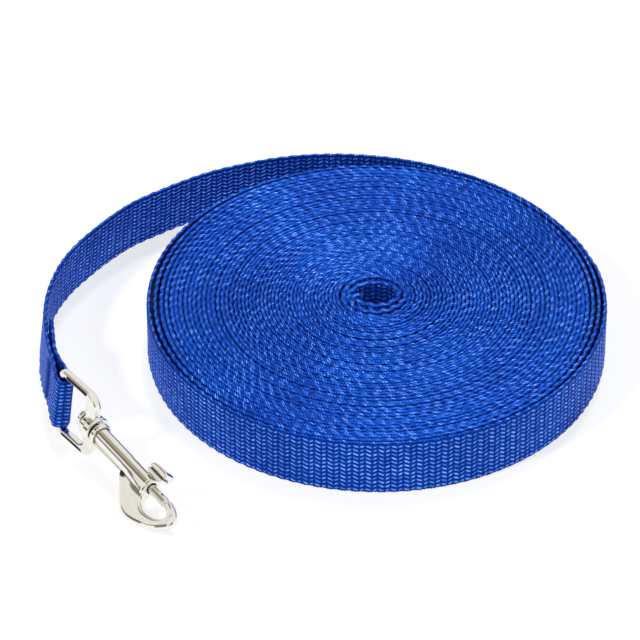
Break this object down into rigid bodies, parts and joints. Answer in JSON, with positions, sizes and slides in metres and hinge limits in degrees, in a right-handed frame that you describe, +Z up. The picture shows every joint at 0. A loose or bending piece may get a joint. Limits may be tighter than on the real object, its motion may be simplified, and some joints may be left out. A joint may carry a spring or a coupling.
{
  "type": "training leash",
  "caption": "Flat webbing training leash wound into a coil, with a free tail that ends in a swivel bolt snap with a spring bolt and thumb knob.",
  "frame": {"origin": "middle of the underside of the whole leash's bounding box, on the floor the coil lies on", "axes": "+Z up, out of the coil's flat top; the free tail leaves the coil at +Y and runs round the -X side to the snap, which points towards -Y"},
  "size_m": [0.185, 0.1806, 0.0271],
  "materials": {
    "webbing": "woven nylon, slight sheen",
    "thread": "bonded sewing thread",
    "nickel": "polished nickel plate",
    "spring_steel": "drawn spring wire"
  },
  "bodies": {
    "coil": {"webbing_coil": "webbing", "outer_wrap": "webbing", "handle_loop": "webbing", "handle_stitching": "thread"},
    "lead": {"lead_strap": "webbing"},
    "loop_end": {"snap_loop": "webbing", "snap_stitching": "thread"},
    "eye": {"swivel_eye": "nickel"},
    "hook": {"hook_body": "nickel", "swivel_stud": "nickel", "bolt_spring": "spring_steel"},
    "bolt": {"bolt": "nickel", "thumb_knob": "nickel"}
  },
  "joints": [
    {"name": "strap_swing", "type": "hinge", "parent": "coil", "child": "lead", "pos_m": [-0.0245, 0.08466, 0.01], "axis": [0, 0, 1], "range_deg": [-18, 3], "stiffness_Nm_per_rad": 0.02},
    {"name": "loop_flex", "type": "hinge", "parent": "lead", "child": "loop_end", "pos_m": [-0.0887, 0.02068, 0.01], "axis": [0, 0, 1], "range_deg": [-20, 5], "stiffness_Nm_per_rad": 0.01},
    {"name": "eye_pivot", "type": "hinge", "parent": "loop_end", "child": "eye", "pos_m": [-0.08259, -0.03807, 0.01451], "axis": [0.1116, -0.024, 0.9935], "range_deg": [-60, 10]},
    {"name": "swivel", "type": "hinge", "parent": "eye", "child": "hook", "pos_m": [-0.06958, -0.05372, 0.0126], "axis": [0.5895, -0.7996, -0.1149], "continuous": true},
    {"name": "bolt_slide", "type": "slide", "parent": "hook", "child": "bolt", "axis": [0.5895, -0.7996, -0.1149], "range_m": [-0.008, 0], "stiffness_N_per_m": 60, "springref_m": 0.003, "deforming": ["bolt_spring"]}
  ]
}
